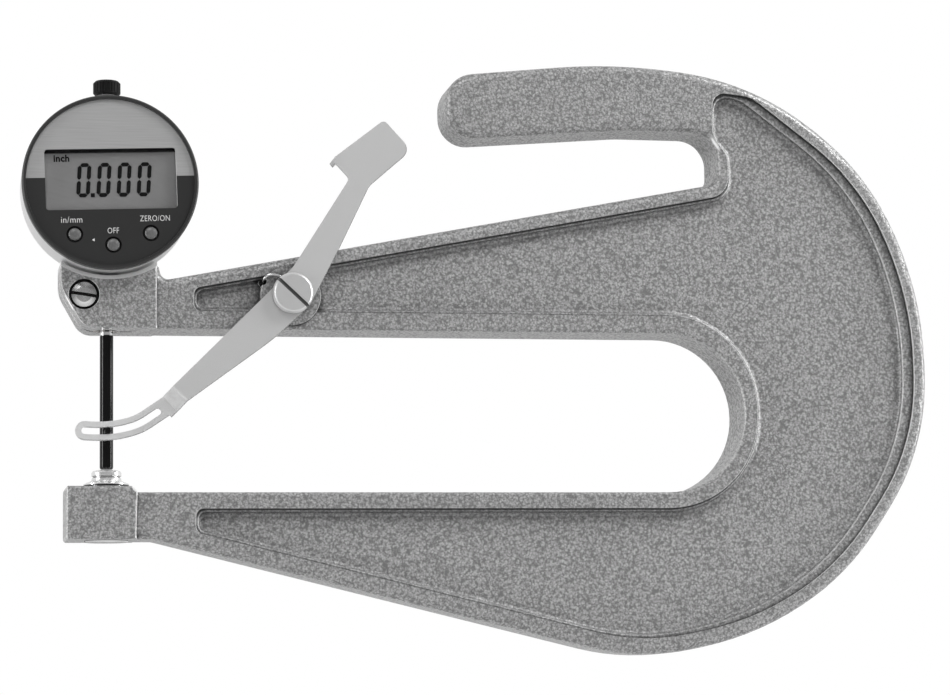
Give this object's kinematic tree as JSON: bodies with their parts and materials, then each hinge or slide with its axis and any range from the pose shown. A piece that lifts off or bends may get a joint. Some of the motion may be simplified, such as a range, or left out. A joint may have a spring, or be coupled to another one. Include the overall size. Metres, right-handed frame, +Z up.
{
  "type": "digital deep throat micrometer",
  "caption": "Hand-held digital thickness gauge: round display indicator on a deep cast C frame with a handle, a flat anvil and a thumb lever that lifts the spindle.",
  "frame": {"origin": "middle of the anvil's measuring face, on the spindle axis", "axes": "+Z up along the spindle, +X into the throat towards the back of the frame, -Y out of the display"},
  "size_m": [0.2918, 0.0308, 0.1894],
  "materials": {
    "hammered_grey": "hammertone enamel",
    "polished_steel": "polished",
    "screw_steel": "bright",
    "lever_sheet": "satin",
    "spring_wire": "bright",
    "case_metal": "satin",
    "black_bezel": "gloss",
    "face_panel": "two-tone, silver above and charcoal below",
    "window_clear": "clear",
    "lcd_grey": "grey liquid crystal",
    "black_rubber": "matt",
    "grey_button": "satin",
    "board_green": "matt",
    "cell_steel": "satin",
    "black_steel": "gloss black",
    "bronze": "satin",
    "black_knurl": "knurled"
  },
  "bodies": {
    "frame": {"frame_casting": "hammered_grey", "anvil": "polished_steel", "anvil_screw": "screw_steel", "clamp_screw": "screw_steel", "pivot_screw": "screw_steel", "lever_spring": "spring_wire", "indicator_case": "case_metal", "back_cover": "case_metal", "battery_lid": "black_bezel", "coin_cell": "cell_steel", "battery_contact": "spring_wire", "cover_screws": "screw_steel", "bezel_ring": "black_bezel", "face_plate": "face_panel", "window_pane": "window_clear", "display_panel": "lcd_grey", "button_mat": "black_rubber", "circuit_board": "board_green", "encoder_scale": "board_green", "stem": "polished_steel", "lower_bush": "bronze", "upper_bush": "case_metal", "guide_bar": "polished_steel", "plunger_spring": "spring_wire"},
    "spindle": {"plunger": "polished_steel", "extension_rod": "black_steel", "lift_pin": "black_steel", "lifting_cap": "black_knurl", "guide_arm": "case_metal", "reading_plate": "board_green"},
    "lever": {"lift_lever": "lever_sheet"},
    "units_key": {"units_button": "grey_button"},
    "off_key": {"off_button": "grey_button"},
    "zero_key": {"zero_button": "grey_button"}
  },
  "joints": [
    {"name": "lever_pivot", "type": "hinge", "parent": "frame", "child": "lever", "pos_m": [0.0568, -0.014, 0.0542], "axis": [0, 1, 0], "range_deg": [0, 23.87], "stiffness_Nm_per_rad": 0.05, "springref_deg": -22.92, "deforming": ["lever_spring"]},
    {"name": "spindle_lift", "type": "slide", "parent": "frame", "child": "spindle", "axis": [0, 0, 1], "range_m": [0, 0.025], "stiffness_N_per_m": 20, "springref_m": -0.05, "deforming": ["plunger_spring"]},
    {"name": "units_press", "type": "slide", "parent": "frame", "child": "units_key", "axis": [0, 1, 0], "range_m": [0, 0.0004], "stiffness_N_per_m": 1200, "springref_m": -0.0004},
    {"name": "off_press", "type": "slide", "parent": "frame", "child": "off_key", "axis": [0, 1, 0], "range_m": [0, 0.0004], "stiffness_N_per_m": 1200, "springref_m": -0.0004},
    {"name": "zero_press", "type": "slide", "parent": "frame", "child": "zero_key", "axis": [0, 1, 0], "range_m": [0, 0.0004], "stiffness_N_per_m": 1200, "springref_m": -0.0004}
  ],
  "couplings": [
    {"joint": "spindle_lift", "follows": "lever_pivot", "m_per_rad": 0.06}
  ]
}
